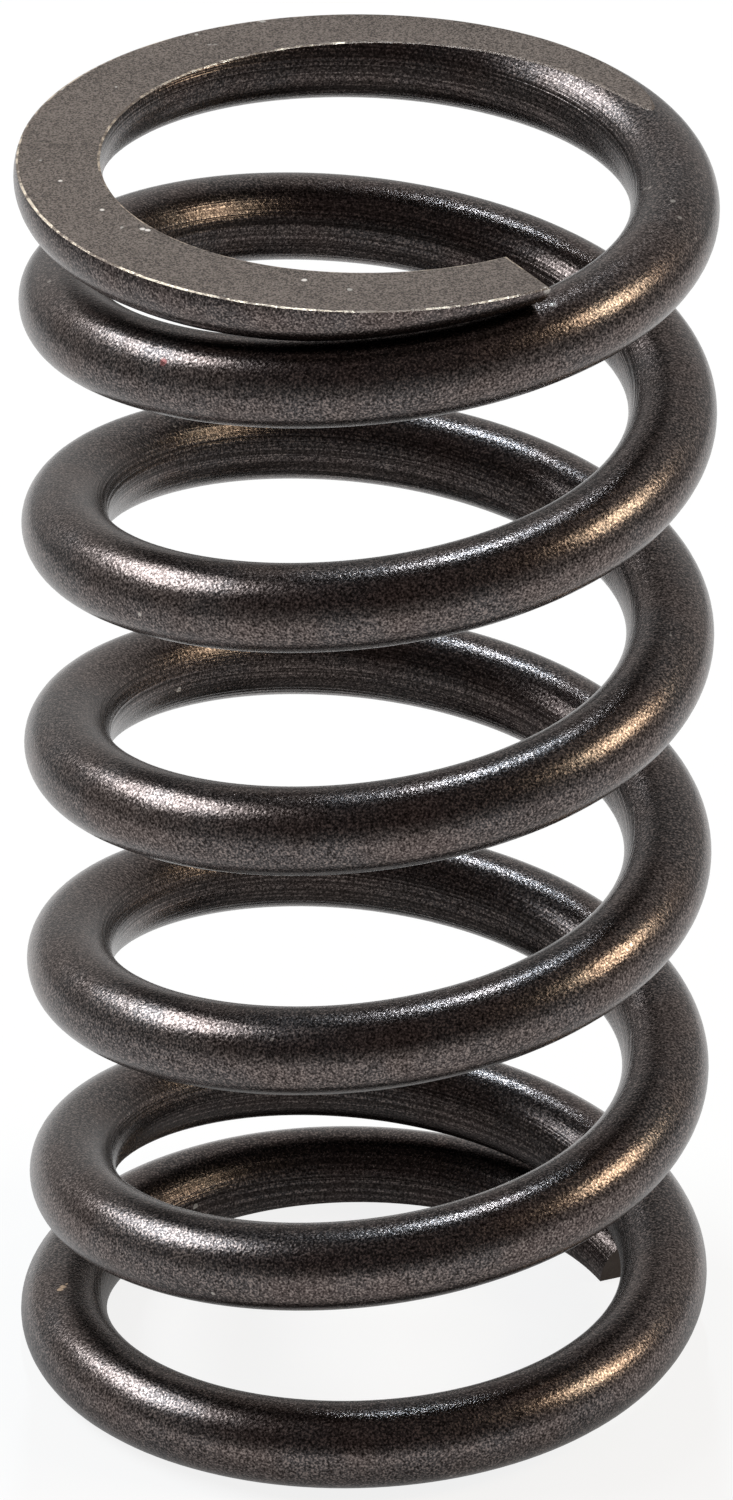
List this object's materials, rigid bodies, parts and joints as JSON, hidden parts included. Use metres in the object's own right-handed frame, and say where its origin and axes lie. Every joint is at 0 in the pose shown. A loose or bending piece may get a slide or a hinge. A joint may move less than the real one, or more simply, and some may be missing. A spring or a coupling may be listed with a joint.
{
  "type": "engine valve spring",
  "caption": "Cylindrical compression spring of round wire with closed, ground ends, which pushes an engine valve shut.",
  "frame": {"origin": "middle of the bottom seat, on the coil's axis and in the plane of the bottom ground face", "axes": "+Z along the coil's axis from the bottom ground face to the top one; -Y towards the side that shows the top tip on the right, as the picture sees it; +X to that view's right"},
  "size_m": [0.0318, 0.0319, 0.0603],
  "materials": {
    "spring_steel": "dark bronze oil-tempered spring wire, satin with a fine shot-peened grain; ground ends brown-grey with bright edges"
  },
  "bodies": {
    "root": {"valve_spring": "spring_steel"}
  },
  "joints": []
}
